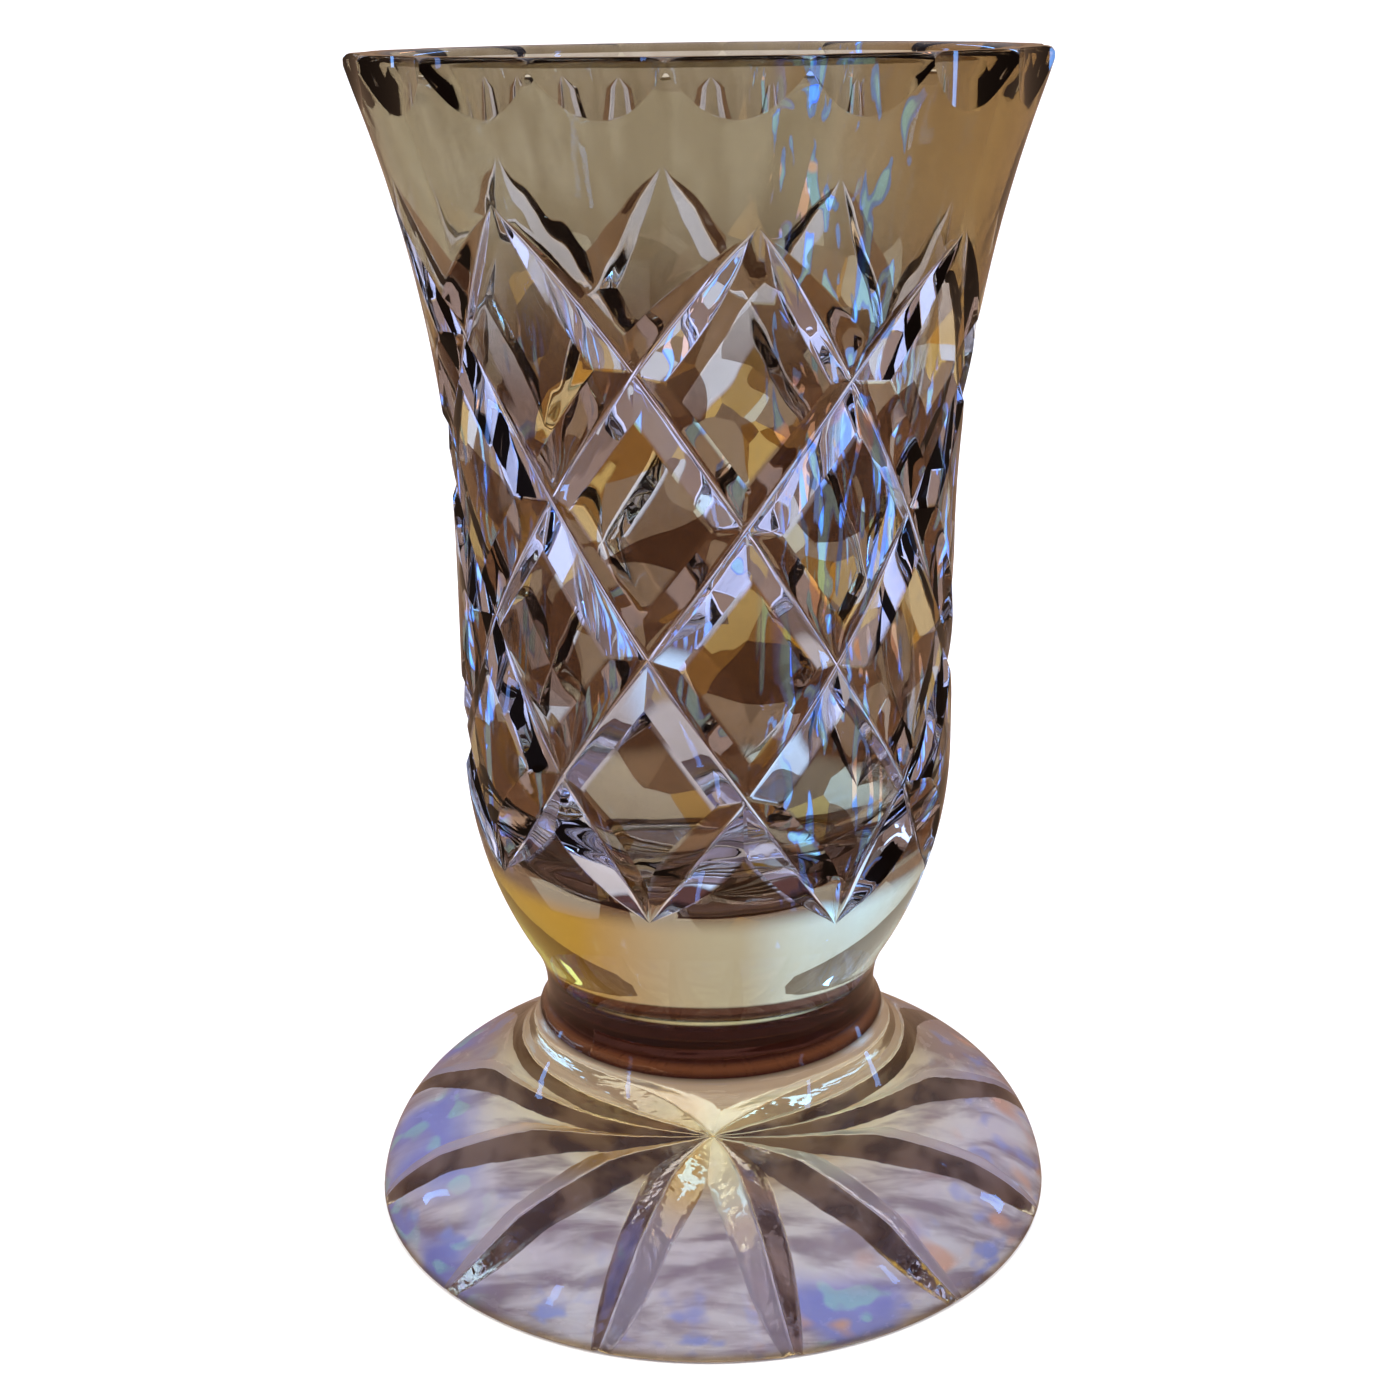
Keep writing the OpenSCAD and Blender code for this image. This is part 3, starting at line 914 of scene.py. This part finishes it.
def foot_outside():
    """Nearly clear crystal of the foot with painted room light, golden around the collar and lilac at
    the edge, and a painted shadow line at its bottom.
    """
    looks = Looks("foot_crystal")
    patch = looks.rise(looks.noise(7.0, 2.0), 0.4, 0.6)
    tint = looks.mix(patch, EDGE_LILAC, EDGE_CLEAR)
    tint = looks.mix(looks.rise(looks.z, 11.0, 20.0), tint, SHOULDER_GOLD)
    # Painted shadow line where the foot meets the floor.
    tint = looks.mix(looks.rise(looks.z, 2.2, 0.8), tint, BOTTOM_SHADOW)
    looks.glass(paint_collar_shade(looks, tint))
    looks.bump(looks.noise(5.0, 2.0), 0.00006)
    return looks.material


# The flats of the foot's underside: painted room reflections and painted glints.
FLAT_GREY = (0.42, 0.35, 0.40)
FLAT_CLEAR = (1.0, 1.0, 1.0)
FLAT_GOLD = (0.72, 0.52, 0.22)
FLAT_BROWN = (0.58, 0.44, 0.40)
FLAT_BLUE = (0.42, 0.52, 1.0)
FLAT_PEACH = (1.0, 0.62, 0.42)
FLAT_GLINT_BLUE = (0.34, 0.42, 1.0)
FLAT_GLINT_CYAN = (0.40, 0.80, 1.0)
# The rays: painted highlights on their bright sides on the left, on the right and further out, and
# painted shade on their dark sides.
RAY_HIGHLIGHT_GOLD = (0.60, 0.34, 0.04)
RAY_HIGHLIGHT_WHITE = (0.85, 0.98, 1.0)
RAY_HIGHLIGHT_GREY = (0.60, 0.55, 0.62)
RAY_SHADE_DARK = (0.09, 0.045, 0.03)
RAY_SHADE_BROWN = (0.30, 0.20, 0.15)
# How clear the rays and the flats are. Their matt share catches the light in the foot.
RAY_CLEARNESS = 0.40
FLAT_CLEARNESS = 0.15


def flats_tint(looks, outward):
    """Painted room reflections: grey streaks, gold in the middle and brown to the rear, with painted
    blue and peach glints near the edge.
    """
    streak = looks.rise(looks.noise(5.0, 3.0, (0.45, 1.3, 1), 0.4), 0.34, 0.62)
    tint = looks.mix(streak, FLAT_GREY, FLAT_CLEAR)
    tint = looks.mix(looks.rise(outward, 20.0, 9.0), tint, FLAT_GOLD)
    tint = looks.mix(looks.rise(looks.y, 4.0, 22.0), tint, FLAT_BROWN)
    near_edge = looks.rise(outward, 22.0, 40.0)
    blue = looks.times(looks.rise(looks.noise(6.0, 2.0), 0.54, 0.70), near_edge)
    tint = looks.mix(blue, tint, FLAT_BLUE)
    glow = looks.rise(looks.noise(13.0, 1.0), 0.34, 0.56)
    glow_colour = looks.mix(looks.rise(looks.noise(5.0, 1.0), 0.54, 0.62), FLAT_GLINT_BLUE, FLAT_GLINT_CYAN)
    far_left = looks.rise(looks.x, -24.0, -34.0)
    front = looks.times(looks.between(looks.x, 8.0, 22.0, 2.0), looks.rise(looks.y, -27.0, -33.0))
    tint = looks.mix(looks.times(glow, looks.sum(far_left, front)), tint, glow_colour)
    peach = looks.times(looks.rise(looks.noise(7.0, 1.0), 0.56, 0.72), near_edge)
    peach = looks.times(peach, looks.rise(looks.x, 0.0, 14.0))
    return looks.mix(peach, tint, FLAT_PEACH)


def foot_underside():
    """Underside of the foot: flats scuffed by use, with painted room reflections and glints, and
    polished rays with painted shade on one side and a painted highlight on the other.
    """
    looks = Looks("foot_worn_crystal_painted_light")
    place = {0: looks.place}
    outward = looks.node("ShaderNodeVectorMath", place, operation="LENGTH").outputs["Value"]
    bright = looks.mix(looks.rise(looks.x, -2.0, 0.5), RAY_HIGHLIGHT_GOLD, RAY_HIGHLIGHT_WHITE)
    bright = looks.mix(looks.rise(outward, 16.0, 24.0), bright, RAY_HIGHLIGHT_GREY)
    dark = looks.mix(looks.rise(looks.noise(6.0, 2.0), 0.40, 0.62), RAY_SHADE_DARK, RAY_SHADE_BROWN)
    tint = looks.paint_cuts(flats_tint(looks, outward), bright, dark)
    cut = looks.node("ShaderNodeMath", {0: looks.side()}, operation="ABSOLUTE").outputs[0]
    flat = looks.rise(cut, 0.9, 0.1)
    clear = looks.sum(RAY_CLEARNESS, looks.times(flat, FLAT_CLEARNESS - RAY_CLEARNESS))
    scuffs = looks.times(looks.rise(looks.noise(2.5, 3.0), 0.3, 0.7), 0.16)
    roughness = looks.times(looks.sum(scuffs, 0.14), flat)
    looks.glass(tint, clear, roughness)
    looks.bump(looks.noise(3.0, 2.0), 0.0001)
    return looks.material


def weld():
    """The joint between two gathers: one body of glass, so nothing shows there."""
    material = bpy.data.materials.new("weld")
    material.use_nodes = True
    tree = material.node_tree
    tree.nodes.remove(tree.nodes["Principled BSDF"])
    clear = tree.nodes.new("ShaderNodeBsdfTransparent")
    tree.links.new(clear.outputs[0], tree.nodes["Material Output"].inputs["Surface"])
    return material


def pale_floor():
    """Matt pale table top."""
    material = bpy.data.materials.new("pale_floor")
    material.use_nodes = True
    shader = material.node_tree.nodes["Principled BSDF"]
    shader.inputs["Base Color"].default_value = (0.93, 0.93, 0.93, 1)
    shader.inputs["Roughness"].default_value = 0.9
    shader.inputs["Specular IOR Level"].default_value = 0.1
    return material


# ---- The vase ----

# Corners of the glass that turn by more than this, in degrees, stay sharp.
SHARP = 20

joint = weld()

for shell, name, node, slot, materials in (
    (bowl_shell(), "cut_bowl", "bowl", "crystal_bowl", [bowl_outside(), joint, bowl_inside()]),
    (collar_shell(), "wrapped_collar", "collar", "crystal_collar", [collar_looks(), joint]),
    (foot_shell(), "star_cut_foot", "foot", "crystal_foot", [foot_outside(), joint, foot_underside()]),
):
    made = shell.piece(name, materials, SHARP)
    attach(made, "root")
    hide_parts(node)


# ---- Floor, light and camera ----

# Most lights stand this far off, and face the middle of the vase.
FAR = 8 * VASE_H
VASE_MIDDLE = (0, 0, VASE_H / 2)
SOFT_WHITE = (1, 1, 0.97)
RIM_WHITE = (1, 0.98, 0.93)
BACKDROP_WHITE = (1, 0.98, 0.90)
WARM = (1, 0.72, 0.42)
COOL = (0.5, 0.68, 1)
STRIP_BLUE = (0.2, 0.45, 1)
STRIP_PEACH = (1, 0.5, 0.25)
# Narrow blue strips that the glass shows as glints: direction and height angle in degrees, width
# as a share of the distance, and brightness.
COOL_STRIPS = ((-52, 12, 0.04, 30), (60, 20, 0.04, 30), (108, 8, 0.06, 18), (-112, 12, 0.05, 18),
               (140, 30, 0.07, 20), (-150, 30, 0.07, 18))
# What the glass mirrors of the room, low down and high up, and what the camera sees of it.
ROOM_LOW = (0.45, 0.28, 0.18)
ROOM_HIGH = (1.25, 1.17, 1.28)
ROOM_WHITE = (1.5, 1.5, 1.5)
# Low changes to high between these upward shares of a direction.
ROOM_FADE = (0.1, 0.6)
# The floor lies this far below the vase, so that their faces don't touch.
FLOOR_GAP = 0.0001
FLOOR_R = 0.9
SWEEP_R = 0.5
SWEEP_END = math.radians(75)
SWEEP_ROWS = 16
FLOOR_COLUMNS = 96
FLOOR_SHARP = 40
# The camera: its lens and film, its place, how far it looks down and leans, and its shift.
LENS_MM = 52.46
FILM_MM = 36
CAMERA_BACK = 1.6813 * VASE_H
CAMERA_UP = 1.033 * VASE_H
CAMERA_DOWN = math.radians(18.85)
CAMERA_ROLL = math.radians(-0.71)
CAMERA_SHIFT = -0.0051


def make_floor():
    """Round floor whose rim curves up all the way round, to above the camera's height."""
    shell = Shell()
    angle = turn_angles(FLOOR_COLUMNS)
    ring = shell.ring(angle, FLOOR_R, -FLOOR_GAP)
    shell.open_disk(shell.middle(-FLOOR_GAP), np.roll(ring[::-1], 1), GLASS_SLOT)
    for a in steps(0.0, SWEEP_END, SWEEP_ROWS):
        z = SWEEP_R * (1 - math.cos(a)) - FLOOR_GAP
        higher = shell.ring(angle, FLOOR_R + SWEEP_R * math.sin(a), z)
        shell.band(higher, ring)
        ring = higher
    floor = shell.piece("floor", [pale_floor()], FLOOR_SHARP)
    # Glass mirrors the dim room and not the bright floor, so that its edges stay clear.
    floor.visible_glossy = False


def softbox(name, place, aim, width, height, glow, colour, seen=True):
    """A rectangular soft light that faces a point. Its glow is its brightness as seen, and it may
    be kept from showing in the glass."""
    data = bpy.data.lights.new(name, "AREA")
    data.shape = "RECTANGLE"
    data.size = width
    data.size_y = height
    data.energy = glow * math.pi * width * height
    data.color = colour
    made = bpy.data.objects.new(name, data)
    bpy.context.scene.collection.objects.link(made)
    made.location = place
    direction = Vector(aim) - Vector(place)
    made.rotation_mode = "QUATERNION"
    made.rotation_quaternion = direction.to_track_quat("-Z", "Y")
    made.visible_camera = False
    made.visible_glossy = seen
    made.visible_transmission = seen


def around(turn, rise, distance):
    """A place at that direction about the axis and height angle, both in degrees."""
    turn, rise = math.radians(turn), math.radians(rise)
    flat = distance * math.cos(rise)
    return (flat * math.sin(turn), -flat * math.cos(turn), VASE_H / 2 + distance * math.sin(rise))


def make_world():
    """The room: warm and dim low down, cool and bright higher up, and plain white to the camera."""
    world = bpy.data.worlds.new("studio")
    world.use_nodes = True
    tree = world.node_tree
    direction = tree.nodes.new("ShaderNodeTexCoord")
    split = tree.nodes.new("ShaderNodeSeparateXYZ")
    tree.links.new(direction.outputs["Generated"], split.inputs[0])
    height = tree.nodes.new("ShaderNodeMapRange")
    height.inputs["From Min"].default_value = ROOM_FADE[0]
    height.inputs["From Max"].default_value = ROOM_FADE[1]
    tree.links.new(split.outputs["Z"], height.inputs["Value"])
    colour = tree.nodes.new("ShaderNodeMix")
    colour.data_type = "RGBA"
    colour.inputs[6].default_value = (*ROOM_LOW, 1)
    colour.inputs[7].default_value = (*ROOM_HIGH, 1)
    tree.links.new(height.outputs[0], colour.inputs[0])
    seen = tree.nodes.new("ShaderNodeMix")
    seen.data_type = "RGBA"
    seen.inputs[7].default_value = (*ROOM_WHITE, 1)
    tree.links.new(tree.nodes.new("ShaderNodeLightPath").outputs["Is Camera Ray"], seen.inputs[0])
    tree.links.new(colour.outputs[2], seen.inputs[6])
    tree.links.new(seen.outputs[2], tree.nodes["Background"].inputs["Color"])
    bpy.context.scene.world = world


def make_lights():
    """Large soft lights above and beside the vase, a ring of lights for the floor's sweep, and
    narrow strips for coloured glints."""
    softbox("overhead", around(0, 80, FAR), VASE_MIDDLE, 1.4 * FAR, 1.4 * FAR, 0.75, SOFT_WHITE)
    for turn in (0, 90, 180, 270):
        wall = around(turn, 0, FLOOR_R + SWEEP_R)
        softbox(f"rim_{turn}", around(turn, 35, 0.7), wall, 1.4, 0.3, 1.35, RIM_WHITE, seen=False)
    softbox("warm_left", around(-80, 30, FAR), VASE_MIDDLE, 0.4 * FAR, 0.6 * FAR, 1.0, WARM)
    softbox("cool_right", around(80, 30, FAR), VASE_MIDDLE, 0.4 * FAR, 0.6 * FAR, 1.0, COOL)
    behind = (0, 1.5 * FAR, 0)
    place = around(0, 60, 0.6 * FAR)
    softbox("backdrop", place, behind, 1.5 * FAR, 0.3 * FAR, 8.0, BACKDROP_WHITE, seen=False)
    for i, (turn, rise, width, glow) in enumerate(COOL_STRIPS):
        place = around(turn, rise, FAR)
        name = f"cool_strip_{i}"
        softbox(name, place, VASE_MIDDLE, width * FAR, 0.35 * FAR, glow, STRIP_BLUE)
    place = around(165, 28, FAR)
    softbox("peach_strip", place, VASE_MIDDLE, 0.05 * FAR, 0.12 * FAR, 8, STRIP_PEACH)


def make_camera():
    """The camera, in front of the vase and above it."""
    data = bpy.data.cameras.new("camera")
    data.sensor_width = FILM_MM
    data.lens = LENS_MM
    data.shift_x = CAMERA_SHIFT
    made = bpy.data.objects.new("camera", data)
    bpy.context.scene.collection.objects.link(made)
    made.location = (0, -CAMERA_BACK, CAMERA_UP)
    made.rotation_euler = (math.pi / 2 - CAMERA_DOWN, 0, 0)
    bpy.context.view_layer.update()
    made.matrix_world = made.matrix_world @ Matrix.Rotation(CAMERA_ROLL, 4, "Z")
    bpy.context.scene.camera = made


make_floor()
make_world()
make_lights()
make_camera()
scene = bpy.context.scene
scene.view_settings.view_transform = "Standard"
scene.view_settings.exposure = -0.5
# Light goes through many cut faces before it leaves the vase.
scene.cycles.transmission_bounces = 32
scene.cycles.max_bounces = 40
